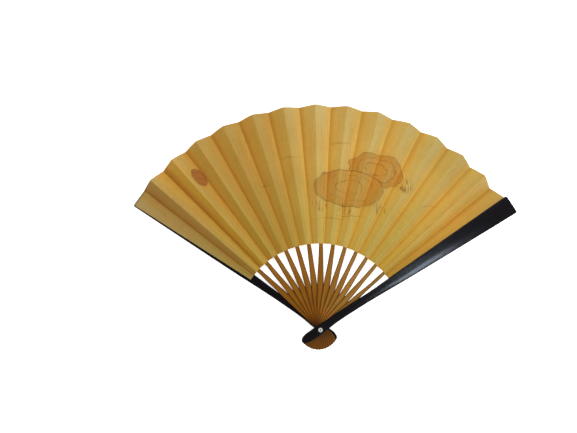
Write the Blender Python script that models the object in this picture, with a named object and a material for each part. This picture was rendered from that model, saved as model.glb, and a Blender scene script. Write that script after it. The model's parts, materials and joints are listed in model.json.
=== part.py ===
"""A folding fan with thirteen bamboo ribs, two lacquered guards and a pleated paper leaf.

The fan lies open on its back. The pivot axis is the Z axis and the flat underside of the pin's
rear head is at z = 0. Every stick has a frame of its own: x across it (clockwise side positive),
y out along it from the pivot, z up through its thickness. Angles of sticks are clockwise from +Y.
"""

import math

import bmesh
import bpy
from mathutils import Matrix, Vector

MM = 0.001

# Leaf: flat pleats, each a sector of a ring about the pivot
RIB_COUNT = 13
LEAF_OUTER = 206.0 * MM
LEAF_INNER = 77.2 * MM
PLEAT_WIDTH = 17.5 * MM
PAPER = 0.22 * MM
FOLD_GAP = 0.3 * MM
PLEAT_TILT_MIDDLE = math.radians(31.3)
PLEAT_TILT_ENDS = math.radians(40.4)
ARC_STEPS = 4

# Levels through the stack, from the underside of the rear head up
REAR_HEAD_TOP = 0.8 * MM
GUARD_BOTTOM = 1.0 * MM
GUARD_THICKNESS = 2.2 * MM
GUARD_BOSS = 0.7 * MM
GUARD_TO_RIB = 1.3 * MM
STICK_PITCH = 0.95 * MM
RIB_THICKNESS = 0.65 * MM
PANEL_LIFT = 0.19 * MM
GUARD_PANEL_GAP = 0.1 * MM

# Sticks
SHOULDER = 45.0 * MM
SHOULDER_GAP = 0.4 * MM
TAIL = 19.7 * MM
RIB_HALF_TAIL = 3.9 * MM
RIB_TAIL_END = 10.0 * MM
RIB_HALF_WAIST = 3.1 * MM
RIB_HALF_SHOULDER = 2.95 * MM
BLADE_HALF_LEAF = 2.2 * MM
BLADE_HALF_TIP = 1.2 * MM
BLADE_END = 203.5 * MM
BLADE_BOTTOM = -0.30 * MM
BLADE_TOP_BARE = 0.25 * MM
BLADE_TOP_LEAF = -0.02 * MM
GUARD_TIP = 207.5 * MM
GUARD_BOSS_END = 41.0 * MM
GUARD_BEVEL = 0.35 * MM
# Half widths of a guard at distances along it, in millimetres: the outer side is hollowed at the neck
GUARD_OUTER_SIDE = (
    (-12, 4.1), (0, 3.9), (7, 3.4), (15, 2.7), (45, 2.8), (66, 3.6), (90, 4.8), (150, 7.0), (207.5, 8.95)
)
GUARD_INNER_SIDE = ((-12, 4.1), (0, 4.2), (45, 4.7), (77, 5.1), (120, 6.2), (163, 7.6), (207.5, 8.95))
TAIL_ROUND = 8.0 * MM
TIP_ROUND = 1.2 * MM

# Pivot pin
BORE_RADIUS = 1.3 * MM
PIN_RADIUS = 1.2 * MM
PIN_NECK_RADIUS = 0.6 * MM
HEAD_RADIUS = 2.3 * MM
CAP_HOLE_RADIUS = 0.75 * MM
CAP_RADIUS = 2.15 * MM
CAP_THICKNESS = 1.2 * MM
CAP_GAP = 0.2 * MM
LATHE_STEPS = 32

# Levels that follow from the stack
REAR_GUARD_TOP = GUARD_BOTTOM + GUARD_THICKNESS
FIRST_RIB_LEVEL = REAR_GUARD_TOP + GUARD_TO_RIB
LAST_RIB_LEVEL = FIRST_RIB_LEVEL + (RIB_COUNT - 1) * STICK_PITCH
FRONT_GUARD_BOTTOM = LAST_RIB_LEVEL + GUARD_TO_RIB
FRONT_GUARD_TOP = FRONT_GUARD_BOTTOM + GUARD_THICKNESS
LEAF_LEVEL = (REAR_GUARD_TOP + FRONT_GUARD_BOTTOM) / 2
REAR_PANEL_LEVEL = REAR_GUARD_TOP + GUARD_PANEL_GAP + PAPER / 2
FRONT_PANEL_LEVEL = FRONT_GUARD_BOTTOM - GUARD_PANEL_GAP - PAPER / 2
PLEAT_HALF_ANGLE = math.asin(PLEAT_WIDTH / 2 / LEAF_OUTER)


def rib_level(k):
    return FIRST_RIB_LEVEL + (k - 1) * STICK_PITCH


def stick_frame(angle, level):
    return Matrix.Rotation(-angle, 4, "Z") @ Matrix.Translation((0, 0, level))


def edge_point(side, radius, lift):
    """A point on a pleat's fold line: side -1 is the left fold and +1 the right one."""
    across = side * radius * math.sin(PLEAT_HALF_ANGLE)
    return Vector((across, radius * math.cos(PLEAT_HALF_ANGLE), lift))


def pleat_tilt(k):
    """Pleats stand steeper towards the guards."""
    middle = (RIB_COUNT + 1) / 2
    share = ((k - middle) / (middle - 1)) ** 2
    return PLEAT_TILT_MIDDLE + (PLEAT_TILT_ENDS - PLEAT_TILT_MIDDLE) * share


def blade_frame(k, angle):
    """From the shoulder on the rib twists and bends, so that its pleat's middle reaches the leaf's level."""
    level = rib_level(k)
    bend = math.asin((LEAF_LEVEL - level) / (LEAF_OUTER - SHOULDER))
    turn = Matrix.Rotation(bend, 4, "X") @ Matrix.Rotation(pleat_tilt(k), 4, "Y")
    at_shoulder = Matrix.Translation((0, SHOULDER, 0))
    return stick_frame(angle, level) @ at_shoulder @ turn @ at_shoulder.inverted()


def panel_edge(frame, side, radius, lift=PANEL_LIFT):
    return frame @ edge_point(side, radius, lift)


def angle_where_pleat_fits(from_point, frame_at, lift):
    """The angle at which the next panel's left fold is one pleat's width from the last valley, by halving."""
    low = math.atan2(from_point.x, from_point.y)
    high = low + 4 * PLEAT_HALF_ANGLE
    for _ in range(40):
        middle = (low + high) / 2
        reach = panel_edge(frame_at(middle), -1, LEAF_OUTER, lift) - from_point
        if reach.length < PLEAT_WIDTH:
            low = middle
        else:
            high = middle
    return middle


def stick_angles():
    """Angles of the rear guard's panel, the ribs and the front guard's panel, centred on +Y."""
    angles = [0.0]
    valley = panel_edge(stick_frame(0, REAR_PANEL_LEVEL), 1, LEAF_OUTER, 0)
    for k in range(1, RIB_COUNT + 1):
        angle = angle_where_pleat_fits(valley, lambda a, k=k: blade_frame(k, a), PANEL_LIFT)
        angles.append(angle)
        valley = panel_edge(blade_frame(k, angle), 1, LEAF_OUTER)
    angles.append(angle_where_pleat_fits(valley, lambda a: stick_frame(a, FRONT_PANEL_LEVEL), 0))
    return [angle - angles[-1] / 2 for angle in angles]


def panel_frames(angles):
    """For each glued panel, the frame whose edge_point(side, radius, 0) lies on its folds."""
    lift = Matrix.Translation((0, 0, PANEL_LIFT))
    frames = [stick_frame(angles[0], REAR_PANEL_LEVEL)]
    frames += [blade_frame(k, angles[k]) @ lift for k in range(1, RIB_COUNT + 1)]
    frames.append(stick_frame(angles[-1], FRONT_PANEL_LEVEL))
    return frames


def fold_frame(left, right):
    """The flat pleat between two glued panels' frames, laid midway between its two fold lines."""
    valley_in, valley_out = (panel_edge(left, 1, r, 0) for r in (LEAF_INNER, LEAF_OUTER))
    peak_in, peak_out = (panel_edge(right, -1, r, 0) for r in (LEAF_INNER, LEAF_OUTER))
    inner, outer = (valley_in + peak_in) / 2, (valley_out + peak_out) / 2
    along = (outer - inner).normalized()
    across = (peak_in - valley_in) + (peak_out - valley_out)
    across = (across - across.dot(along) * along).normalized()
    normal = across.cross(along)
    middle_radius = (LEAF_INNER + LEAF_OUTER) / 2 * math.cos(PLEAT_HALF_ANGLE)
    apex = (inner + outer) / 2 - along * middle_radius
    frame = Matrix((across, along, normal)).transposed().to_4x4()
    frame.translation = apex
    return frame


def add_mesh_object(name, bm, frame, material):
    bmesh.ops.recalc_face_normals(bm, faces=bm.faces)
    mesh = bpy.data.meshes.new(name)
    bm.to_mesh(mesh)
    bm.free()
    mesh.materials.append(material)
    obj = bpy.data.objects.new(name, mesh)
    bpy.context.scene.collection.objects.link(obj)
    obj.matrix_world = frame
    return obj


def new_material(name, colour, roughness, metallic=0.0):
    material = bpy.data.materials.new(name)
    material.use_nodes = True
    shader = material.node_tree.nodes["Principled BSDF"]
    shader.inputs["Base Color"].default_value = (*colour, 1)
    shader.inputs["Roughness"].default_value = roughness
    shader.inputs["Metallic"].default_value = metallic
    return material


def bar(stations):
    """A closed bar lofted through cross-sections: (y, left x, right x, bottom z, top z)."""
    bm = bmesh.new()
    rings = []
    for y, left, right, bottom, top in stations:
        corners = ((left, bottom), (right, bottom), (right, top), (left, top))
        rings.append([bm.verts.new((x, y, z)) for x, z in corners])
    for near, far in zip(rings, rings[1:]):
        for i in range(4):
            j = (i + 1) % 4
            bm.faces.new((near[i], near[j], far[j], far[i]))
    bm.faces.new(rings[0][::-1])
    bm.faces.new(rings[-1])
    return bm


def sector_plate(thickness, margin, origin):
    """A flat pleat: a sector between the leaf's two radii, drawn in by margin, about a local origin."""
    bm = bmesh.new()
    outline = []
    for radius, direction in ((LEAF_INNER, 1), (LEAF_OUTER, -1)):
        limit = PLEAT_HALF_ANGLE - margin / radius
        for i in range(ARC_STEPS + 1):
            angle = direction * limit * (2 * i / ARC_STEPS - 1)
            outline.append((radius * math.sin(angle), radius * math.cos(angle), -thickness / 2))
    face = bm.faces.new([bm.verts.new(Vector(point) - origin) for point in outline])
    solid = bmesh.ops.extrude_face_region(bm, geom=[face])
    top = [item for item in solid["geom"] if isinstance(item, bmesh.types.BMVert)]
    bmesh.ops.translate(bm, verts=top, vec=(0, 0, thickness))
    return bm


def lathe(profile):
    """Turns (radius, z) points about the Z axis; points at radius 0 close on the axis."""
    bm = bmesh.new()
    verts = [bm.verts.new((radius, 0, z)) for radius, z in profile]
    edges = [bm.edges.new(pair) for pair in zip(verts, verts[1:] + verts[:1])]
    about = {"cent": (0, 0, 0), "axis": (0, 0, 1), "angle": math.tau}
    bmesh.ops.spin(bm, geom=verts + edges, steps=LATHE_STEPS, use_merge=True, **about)
    bmesh.ops.remove_doubles(bm, verts=bm.verts, dist=MM / 1000)
    bmesh.ops.dissolve_degenerate(bm, edges=bm.edges, dist=MM / 1000)
    return bm


def interpolate(table, y):
    """A smooth curve through a table of (distance, half width) pairs given in millimetres."""
    y = y / MM
    last = len(table) - 2
    i = max(n for n in range(last + 1) if n == 0 or table[n][0] <= y)
    (y0, a), (y1, b) = table[i], table[i + 1]
    slope = (b - a) / (y1 - y0)
    before = (a - table[i - 1][1]) / (y0 - table[i - 1][0]) if i > 0 else slope
    after = (table[i + 2][1] - b) / (table[i + 2][0] - y1) if i < last else slope
    t = (y - y0) / (y1 - y0)
    start, end = (before + slope) / 2, (slope + after) / 2
    hermite = (2 * t**3 - 3 * t**2 + 1) * a + (3 * t**2 - 2 * t**3) * b
    hermite += ((t**3 - 2 * t**2 + t) * start + (t**3 - t**2) * end) * (y1 - y0)
    return hermite * MM


def rounding(y, tail_end, tip_end):
    """The share of its full width a stick has at y: the tail is a half ellipse, the tip has round corners."""
    share = 1.0
    if y < tail_end + TAIL_ROUND:
        share = math.sqrt(max(1 - ((tail_end + TAIL_ROUND - y) / TAIL_ROUND) ** 2, 0))
    if y > tip_end - TIP_ROUND:
        depth = (y - tip_end + TIP_ROUND) / TIP_ROUND
        corner = (1 - math.sqrt(max(1 - depth**2, 0))) * TIP_ROUND
        share = 1 - corner / interpolate(GUARD_OUTER_SIDE, tip_end)
    return share


def guard_distances():
    """Distances along a guard: close together where its ends are round, wider apart between."""
    quarter = [math.pi / 2 * i / 6 for i in range(1, 7)]
    tail = [-TAIL + TAIL_ROUND * (1 - math.cos(a)) for a in quarter]
    body = [y * MM for y in (-4, 0, 4, 8, 12, 16, 22, 30)]
    body += [GUARD_BOSS_END, GUARD_BOSS_END + 2 * MM]
    body += [y * MM for y in (50, 58, 66, 78, 90, 105, 120, 140, 160, 180, 195)]
    tip = [GUARD_TIP - TIP_ROUND * (1 - math.sin(math.pi / 2 * i / 4)) for i in range(5)]
    return tail + body + tip


def add_guard(name, angle, bottom, outer_sign, boss_sign, bore, material):
    """A guard: outer_sign is its side away from the leaf, boss_sign its face that thickens at the neck."""
    stations = []
    for y in guard_distances():
        share = rounding(y, -TAIL, GUARD_TIP)
        outer = outer_sign * share * interpolate(GUARD_OUTER_SIDE, y)
        inner = -outer_sign * share * interpolate(GUARD_INNER_SIDE, y)
        boss = GUARD_BOSS if y <= GUARD_BOSS_END else 0
        low = -boss if boss_sign < 0 else 0
        high = GUARD_THICKNESS + (boss if boss_sign > 0 else 0)
        stations.append((y, min(outer, inner), max(outer, inner), low, high))
    guard = add_mesh_object(name, bar(stations), stick_frame(angle, bottom), material)
    cut_bore(guard, bore)
    bevel = guard.modifiers.new("edges", "BEVEL")
    bevel.width = GUARD_BEVEL
    bevel.segments = 2
    bevel.limit_method = "ANGLE"
    bevel.angle_limit = math.radians(50)
    return guard


def cut_bore(stick, bore):
    cut = stick.modifiers.new("bore", "BOOLEAN")
    cut.operation = "DIFFERENCE"
    cut.solver = "EXACT"
    cut.object = bore


def add_bore_cutter():
    bm = bmesh.new()
    depth = 4 * FRONT_GUARD_TOP
    radii = {"radius1": BORE_RADIUS, "radius2": BORE_RADIUS}
    bmesh.ops.create_cone(bm, cap_ends=True, segments=LATHE_STEPS, depth=depth, **radii)
    red = new_material("cutter", (1, 0, 0), 0.5)
    bore = add_mesh_object("bore_cutter", bm, Matrix.Identity(4), red)
    bore.hide_render = True
    bore.display_type = "WIRE"
    return bore


def rib_half_width(y):
    table = (
        (-TAIL, RIB_HALF_TAIL),
        (-RIB_TAIL_END, RIB_HALF_TAIL),
        (0, RIB_HALF_WAIST),
        (SHOULDER, RIB_HALF_SHOULDER),
    )
    return interpolate(tuple((at / MM, half / MM) for at, half in table), y)


def add_rib(k, angle, bore, material):
    """The rib's flat part, from its tail past the pin to the shoulder."""
    quarter = [math.pi / 2 * i / 5 for i in range(1, 6)]
    distances = [-TAIL + TAIL_ROUND * (1 - math.cos(a)) for a in quarter]
    distances += [y * MM for y in (-6, -2, 2, 8, 20)] + [SHOULDER - SHOULDER_GAP / 2]
    stations = []
    for y in distances:
        half = rounding(y, -TAIL, GUARD_TIP) * rib_half_width(y)
        stations.append((y, -half, half, -RIB_THICKNESS / 2, RIB_THICKNESS / 2))
    rib = add_mesh_object(f"rib_{k:02d}", bar(stations), stick_frame(angle, rib_level(k)), material)
    cut_bore(rib, bore)


def add_blade(k, frame, material):
    """The rib's thin blade, bare up to the leaf and lying behind the paper from there on."""
    start = SHOULDER + SHOULDER_GAP / 2
    bare_end = LEAF_INNER - 2 * MM
    bottom = BLADE_BOTTOM
    stations = (
        (start, RIB_HALF_SHOULDER, BLADE_TOP_BARE),
        (bare_end, BLADE_HALF_LEAF, BLADE_TOP_BARE),
        (bare_end + MM, BLADE_HALF_LEAF, BLADE_TOP_LEAF),
        (BLADE_END, BLADE_HALF_TIP, BLADE_TOP_LEAF),
    )
    origin = frame @ Matrix.Translation((0, SHOULDER, 0))
    bm = bar([(y - SHOULDER, -half, half, bottom, top) for y, half, top in stations])
    add_mesh_object(f"rib_blade_{k:02d}", bm, origin, material)


def add_glued_panel(k, frame, paper):
    origin = Vector((0, SHOULDER, 0))
    bm = sector_plate(PAPER, FOLD_GAP, origin)
    add_mesh_object(f"leaf_panel_{k:02d}", bm, frame @ Matrix.Translation(origin), paper)


def add_fold_panel(k, frame, paper):
    """A free pleat, with its origin on its valley fold."""
    origin = edge_point(-1, LEAF_INNER, 0)
    bm = sector_plate(PAPER, FOLD_GAP, origin)
    add_mesh_object(f"leaf_fold_{k:02d}", bm, frame @ Matrix.Translation(origin), paper)


def add_pin(material):
    top = FRONT_GUARD_TOP + CAP_GAP + CAP_THICKNESS
    chamfer = 0.25 * MM
    profile = (
        (0, 0), (HEAD_RADIUS - chamfer, 0), (HEAD_RADIUS, chamfer), (HEAD_RADIUS, REAR_HEAD_TOP),
        (PIN_RADIUS, REAR_HEAD_TOP), (PIN_RADIUS, FRONT_GUARD_TOP), (PIN_NECK_RADIUS, FRONT_GUARD_TOP),
        (PIN_NECK_RADIUS, top), (0, top),
    )
    pin = add_mesh_object("pivot_pin", lathe(profile), Matrix.Identity(4), material)
    shade_round(pin)


def add_pin_cap(material):
    """The pearly washer over the pin's front end, with a rounded rim."""
    bottom = FRONT_GUARD_TOP + CAP_GAP
    rim = CAP_THICKNESS / 2
    profile = [(CAP_HOLE_RADIUS, bottom), (CAP_RADIUS - rim / 3, bottom)]
    for i in range(6):
        turn = math.pi / 2 * i / 5
        profile.append((CAP_RADIUS - rim * (1 - math.cos(turn)), bottom + rim + rim * math.sin(turn)))
    profile.append((CAP_HOLE_RADIUS, bottom + CAP_THICKNESS))
    cap = add_mesh_object("pin_cap", lathe(profile), Matrix.Identity(4), material)
    shade_round(cap)


def shade_round(obj):
    obj.data.shade_smooth()
    obj.data.set_sharp_from_angle(angle=math.radians(40))


def main():
    for obj in list(bpy.data.objects):
        bpy.data.objects.remove(obj, do_unlink=True)
    lacquer = new_material("black_lacquer", (0.006, 0.006, 0.008), 0.18)
    bamboo = new_material("bamboo", (0.26, 0.115, 0.028), 0.45)
    paper = new_material("gold_paper", (0.60, 0.38, 0.09), 0.62)
    pearl = new_material("pearl", (0.66, 0.70, 0.62), 0.25)
    horn = new_material("grey_horn", (0.33, 0.34, 0.30), 0.4)

    angles = stick_angles()
    bore = add_bore_cutter()
    add_guard("guard_rear", angles[0], GUARD_BOTTOM, -1, 1, bore, lacquer)
    for k in range(1, RIB_COUNT + 1):
        add_rib(k, angles[k], bore, bamboo)
        add_blade(k, blade_frame(k, angles[k]), bamboo)
    add_guard("guard_front", angles[-1], FRONT_GUARD_BOTTOM, 1, -1, bore, lacquer)

    frames = panel_frames(angles)
    for k, frame in enumerate(frames):
        add_glued_panel(k, frame, paper)
    for k, (left, right) in enumerate(zip(frames, frames[1:])):
        add_fold_panel(k, fold_frame(left, right), paper)
    add_pin(horn)
    add_pin_cap(pearl)


main()
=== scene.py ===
"""The looks of a folding fan round its CAD frame: lacquered guards, bamboo ribs and a pleated gold leaf.

Lengths are in metres in the row frame. The pivot is the Z axis, and stick angles are clockwise from +Y.
"""

import json
import math

import bmesh
import bpy
from mathutils import Matrix, Quaternion, Vector

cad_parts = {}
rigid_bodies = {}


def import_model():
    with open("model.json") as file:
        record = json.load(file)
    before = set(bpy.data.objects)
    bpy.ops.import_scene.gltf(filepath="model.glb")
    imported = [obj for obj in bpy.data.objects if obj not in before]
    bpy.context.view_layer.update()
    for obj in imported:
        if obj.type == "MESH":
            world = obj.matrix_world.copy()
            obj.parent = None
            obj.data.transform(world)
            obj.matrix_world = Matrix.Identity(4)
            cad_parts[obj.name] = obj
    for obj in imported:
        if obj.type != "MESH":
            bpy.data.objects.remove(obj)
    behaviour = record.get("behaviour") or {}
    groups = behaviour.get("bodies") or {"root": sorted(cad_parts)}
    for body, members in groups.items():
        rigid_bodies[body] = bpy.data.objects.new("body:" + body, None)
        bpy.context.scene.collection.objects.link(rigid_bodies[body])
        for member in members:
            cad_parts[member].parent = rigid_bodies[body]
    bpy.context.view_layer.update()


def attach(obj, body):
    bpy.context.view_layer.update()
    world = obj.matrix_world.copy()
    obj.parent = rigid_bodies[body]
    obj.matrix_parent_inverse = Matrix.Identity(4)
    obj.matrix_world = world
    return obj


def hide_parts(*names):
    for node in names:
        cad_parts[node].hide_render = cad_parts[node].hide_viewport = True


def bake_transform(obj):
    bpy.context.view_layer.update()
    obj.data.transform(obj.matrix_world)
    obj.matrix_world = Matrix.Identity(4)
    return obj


for default in list(bpy.data.objects):
    bpy.data.objects.remove(default, do_unlink=True)
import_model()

MM = 0.001

# The CAD part's own dimensions. The tables of sides give (distance from pivot, half width) in millimetres.
RIB_COUNT = 13
LEAF_OUTER = 206.0 * MM
LEAF_INNER = 77.2 * MM
PLEAT_WIDTH = 17.5 * MM
PAPER = 0.22 * MM
PLEAT_TILT_MIDDLE = math.radians(31.3)
PLEAT_TILT_ENDS = math.radians(40.4)
GUARD_BOTTOM = 1.0 * MM
GUARD_THICKNESS = 2.2 * MM
GUARD_BOSS = 0.7 * MM
GUARD_BOSS_END = 41.0 * MM
GUARD_TIP = 207.5 * MM
GUARD_TIP_HALF = 8.95 * MM
GUARD_TO_RIB = 1.3 * MM
GUARD_PANEL_GAP = 0.1 * MM
STICK_PITCH = 0.95 * MM
PANEL_LIFT = 0.19 * MM
SHOULDER = 45.0 * MM
TAIL = 19.7 * MM
TAIL_ROUND = 8.0 * MM
TIP_ROUND = 1.2 * MM
BLADE_END = 203.5 * MM
BORE_RADIUS = 1.3 * MM
RIB_HALF_THICKNESS = 0.325 * MM
BLADE_BACK = -0.30 * MM
BLADE_FRONT = 0.25 * MM
GUARD_OUTER_SIDE = (
    (-12, 4.1), (0, 3.9), (7, 3.4), (15, 2.7), (45, 2.8), (66, 3.6), (90, 4.8), (150, 7.0), (207.5, 8.95)
)
RIB_SIDE = ((-19.7, 3.9), (-10, 3.9), (0, 3.1), (45, 2.9), (56, 2.5), (75.2, 2.25), (203.5, 1.2))

LAST_PANEL = RIB_COUNT + 1
PLEAT_COUNT = 2 * RIB_COUNT + 3
REAR_GUARD_TOP = GUARD_BOTTOM + GUARD_THICKNESS
FIRST_RIB_LEVEL = REAR_GUARD_TOP + GUARD_TO_RIB
LAST_RIB_LEVEL = FIRST_RIB_LEVEL + (RIB_COUNT - 1) * STICK_PITCH
FRONT_GUARD_BOTTOM = LAST_RIB_LEVEL + GUARD_TO_RIB
FRONT_GUARD_TOP = FRONT_GUARD_BOTTOM + GUARD_THICKNESS
LEAF_LEVEL = (REAR_GUARD_TOP + FRONT_GUARD_BOTTOM) / 2
REAR_PANEL_LEVEL = REAR_GUARD_TOP + GUARD_PANEL_GAP + PAPER / 2
FRONT_PANEL_LEVEL = FRONT_GUARD_BOTTOM - GUARD_PANEL_GAP - PAPER / 2
PLEAT_HALF_ANGLE = math.asin(PLEAT_WIDTH / 2 / LEAF_OUTER)

# Guards: the inner sides are slimmer at the neck than in the CAD, as in the photo
FRONT_INNER_SIDE = (
    (-12, 4.1), (0, 4.2), (35, 4.45), (52, 4.25), (66, 4.5), (85, 5.25), (120, 6.2), (163, 7.6), (207.5, 8.95)
)
REAR_INNER_SIDE = (
    (-12, 4.1), (0, 4.1), (25, 3.7), (45, 3.6), (62, 3.8), (85, 4.6), (120, 6.2), (163, 7.6), (207.5, 8.95)
)
GUARD_CROWN = 0.45 * MM
GUARD_EDGE = 0.28 * MM
BOSS_SLOPE = 3.0 * MM
TAIL_STEPS = 12
TAIL_BLUNTNESS = 0.003

# Ribs: slimmer than in the CAD between the pin and the leaf, each side by as much as said here. Inside the
# leaf the front of a blade lies behind the front paper, whose relief shows it.
TWIST_END = 77.0 * MM
RIGHT_NARROWING = 0.42 * MM
LAST_NARROWING = 0.35 * MM
LEFT_NARROWING = 0.16 * MM
THINNING_RUN = 20.0 * MM
HIDDEN_FRONT = -0.02 * MM
HIDDEN_FROM = 73.0 * MM
HIDDEN_RUN = 3.0 * MM
RIB_ROUND_ACROSS = 0.22 * MM
RIB_ROUND_UP = 0.14 * MM

# Grain: each stick has its own stretch of it, so many millimetres from the next
RIB_GRAIN_STEP = 40.0
FRONT_GUARD_GRAIN = 90.0

# Leaf: the relief of a rib between the two papers, and how far the paper is pulled round at a crease. The
# crease of fold line 1 is softer. The first fold lines reach further out, over the rear guard's tip, and the
# first pleat is trimmed along that guard.
LEAF_STEPS = 26
RIDGE = 0.055 * MM
BACK_RIDGE = 0.42 * MM
CREASE_PULL = 0.10 * MM
CREASE_REACH = 0.55 * MM
SOFT_CREASE = 1
SOFT_CREASE_PULL = 0.40 * MM
SOFT_CREASE_REACH = 2.4 * MM
OUTER_ENDS = {0: 207.7 * MM, 1: 207.6 * MM, 2: 206.4 * MM}
TRIM_START = 2.5 * MM
TRIM_SLOPE = 0.05

# Painting: centres and half sizes on the open fan, in metres from the pivot, and leans in radians
NEAR_HILL = ((0.0235, 0.1290), (0.031, 0.0170), -0.10)
FAR_HILL = ((0.0485, 0.1470), (0.025, 0.0150), -0.20)
SUN = ((-0.1128, 0.1379), (0.0053, 0.0107), 0.70)
HILL_CONTOURS = (0.30, 0.62)
TUFTS = ((-0.001, 0.1135), (0.020, 0.1095), (0.050, 0.1105), (0.075, 0.1330))
TUFT_HALF = (0.0095, 0.0065)
TUFT_LEAN = -0.4
GROUND_LINES = (
    ((-0.0290, 0.1560), 0.014), ((0.0060, 0.1000), 0.022), ((0.0160, 0.1700), 0.013),
    ((0.0980, 0.1150), 0.011), ((0.0250, 0.1030), 0.016), ((-0.0500, 0.1300), 0.009),
)
LINE_HALF_WIDTH = 0.0005
LINE_LEAN = 0.02

# Stage
FLOOR_HALF = 3.0
LEAF_MIDDLE = (0.02, 0.1, 0)
GUARD_SHEEN = (0.079, 0.053, 0.02)
WHITE = (1.0, 1.0, 1.0)
LENS = 29.916
CAMERA_PLACE = (-0.029654, 0.079889, 0.453208)
CAMERA_TURN = (2.7994, 0.0673, 1.1343)


# ---------------------------------------------------------------- the frame of each stick and pleat


def rib_level(k):
    return FIRST_RIB_LEVEL + (k - 1) * STICK_PITCH


def stick_frame(angle, level):
    return Matrix.Rotation(-angle, 4, "Z") @ Matrix.Translation((0, 0, level))


def edge_point(side, radius, lift=0.0):
    across = side * radius * math.sin(PLEAT_HALF_ANGLE)
    return Vector((across, radius * math.cos(PLEAT_HALF_ANGLE), lift))


def blade_turn(k):
    """The rotation about the shoulder that takes a rib's flat part to its blade."""
    middle = (RIB_COUNT + 1) / 2
    share = ((k - middle) / (middle - 1)) ** 2
    tilt = PLEAT_TILT_MIDDLE + (PLEAT_TILT_ENDS - PLEAT_TILT_MIDDLE) * share
    bend = math.asin((LEAF_LEVEL - rib_level(k)) / (LEAF_OUTER - SHOULDER))
    return (Matrix.Rotation(bend, 4, "X") @ Matrix.Rotation(tilt, 4, "Y")).to_quaternion()


def bent_frame(k, angle, share):
    """The rib's frame where a share of its twist and bend is behind it."""
    turn = Quaternion().slerp(blade_turn(k), share).to_matrix().to_4x4()
    at_shoulder = Matrix.Translation((0, SHOULDER, 0))
    return stick_frame(angle, rib_level(k)) @ at_shoulder @ turn @ at_shoulder.inverted()


def angle_where_pleat_fits(valley, frame_at, lift):
    """The stick angle at which a free pleat just spans from the last valley fold to the stick's peak fold."""
    low = math.atan2(valley.x, valley.y)
    high = low + 4 * PLEAT_HALF_ANGLE
    for _ in range(40):
        middle = (low + high) / 2
        if (frame_at(middle) @ edge_point(-1, LEAF_OUTER, lift) - valley).length < PLEAT_WIDTH:
            low = middle
        else:
            high = middle
    return middle


def stick_angles():
    """The angles of the rear guard, the thirteen ribs and the front guard, evenly about +Y."""
    angles = [0.0]
    valley = stick_frame(0, REAR_PANEL_LEVEL) @ edge_point(1, LEAF_OUTER)
    for k in range(1, RIB_COUNT + 1):
        angles.append(angle_where_pleat_fits(valley, lambda a, k=k: bent_frame(k, a, 1), PANEL_LIFT))
        valley = bent_frame(k, angles[-1], 1) @ edge_point(1, LEAF_OUTER, PANEL_LIFT)
    angles.append(angle_where_pleat_fits(valley, lambda a: stick_frame(a, FRONT_PANEL_LEVEL), 0))
    return [angle - angles[-1] / 2 for angle in angles]


def interpolate(table, y):
    """A smooth curve through a table of (distance, half width) pairs in millimetres."""
    y = y / MM
    last = len(table) - 2
    i = max(n for n in range(last + 1) if n == 0 or table[n][0] <= y)
    (y0, a), (y1, b) = table[i], table[i + 1]
    slope = (b - a) / (y1 - y0)
    before = (a - table[i - 1][1]) / (y0 - table[i - 1][0]) if i > 0 else slope
    after = (table[i + 2][1] - b) / (table[i + 2][0] - y1) if i < last else slope
    t = (y - y0) / (y1 - y0)
    start, end = (before + slope) / 2, (slope + after) / 2
    hermite = (2 * t**3 - 3 * t**2 + 1) * a + (3 * t**2 - 2 * t**3) * b
    hermite += ((t**3 - 2 * t**2 + t) * start + (t**3 - t**2) * end) * (y1 - y0)
    return hermite * MM


def smooth(t):
    t = min(max(t, 0.0), 1.0)
    return t * t * (3 - 2 * t)


def mix(a, b, t):
    return a + (b - a) * t


# ---------------------------------------------------------------- meshes


def new_piece(name, points, faces, attributes, material, smooth_angle=40):
    """A mesh object with smooth shading and named vector attributes, one value a point."""
    mesh = bpy.data.meshes.new(name)
    mesh.from_pydata([tuple(p) for p in points], [], faces)
    for key, values in attributes.items():
        layer = mesh.attributes.new(key, "FLOAT_VECTOR", "POINT")
        layer.data.foreach_set("vector", [x for v in values for x in v])
    bm = bmesh.new()
    bm.from_mesh(mesh)
    bmesh.ops.recalc_face_normals(bm, faces=bm.faces)
    bm.to_mesh(mesh)
    bm.free()
    mesh.materials.append(material)
    mesh.shade_smooth()
    mesh.set_sharp_from_angle(angle=math.radians(smooth_angle))
    obj = bpy.data.objects.new(name, mesh)
    bpy.context.scene.collection.objects.link(obj)
    return obj


def loft(rings):
    """Faces between closed rings of equal length, with a cap at each end."""
    n = len(rings[0])
    points = [p for ring in rings for p in ring]
    faces = []
    for i in range(len(rings) - 1):
        for j in range(n):
            a, b = i * n + j, i * n + (j + 1) % n
            faces.append((a, b, b + n, a + n))
    faces.append(tuple(range(n))[::-1])
    last = (len(rings) - 1) * n
    faces.append(tuple(range(last, last + n)))
    return points, faces


def two_sided(row_count, column_count):
    """The faces of a sheet: a front and a back layer of equal rows of points, and the edges between them."""
    layer = row_count * column_count
    faces = []
    for i in range(row_count - 1):
        start = i * column_count
        after = start + column_count
        for c in range(column_count - 1):
            a, b = start + c, after + c
            faces.append((a, a + 1, b + 1, b))
            faces.append((layer + b, layer + b + 1, layer + a + 1, layer + a))
        for a in (start, after - 1):
            b = a + column_count
            faces.append((a, b, layer + b, layer + a))
    last_row = layer - column_count
    for c in range(column_count - 1):
        for a in (c, last_row + c):
            faces.append((a, a + 1, layer + a + 1, layer + a))
    return faces


# ---------------------------------------------------------------- the leaf


def glued_frames(angles):
    """The frame of each glued pleat, from the one on the rear guard to the one on the front guard."""
    frames = [stick_frame(angles[0], REAR_PANEL_LEVEL)]
    for k in range(1, LAST_PANEL):
        frames.append(bent_frame(k, angles[k], 1) @ Matrix.Translation((0, 0, PANEL_LIFT)))
    frames.append(stick_frame(angles[-1], FRONT_PANEL_LEVEL))
    return frames


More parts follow.
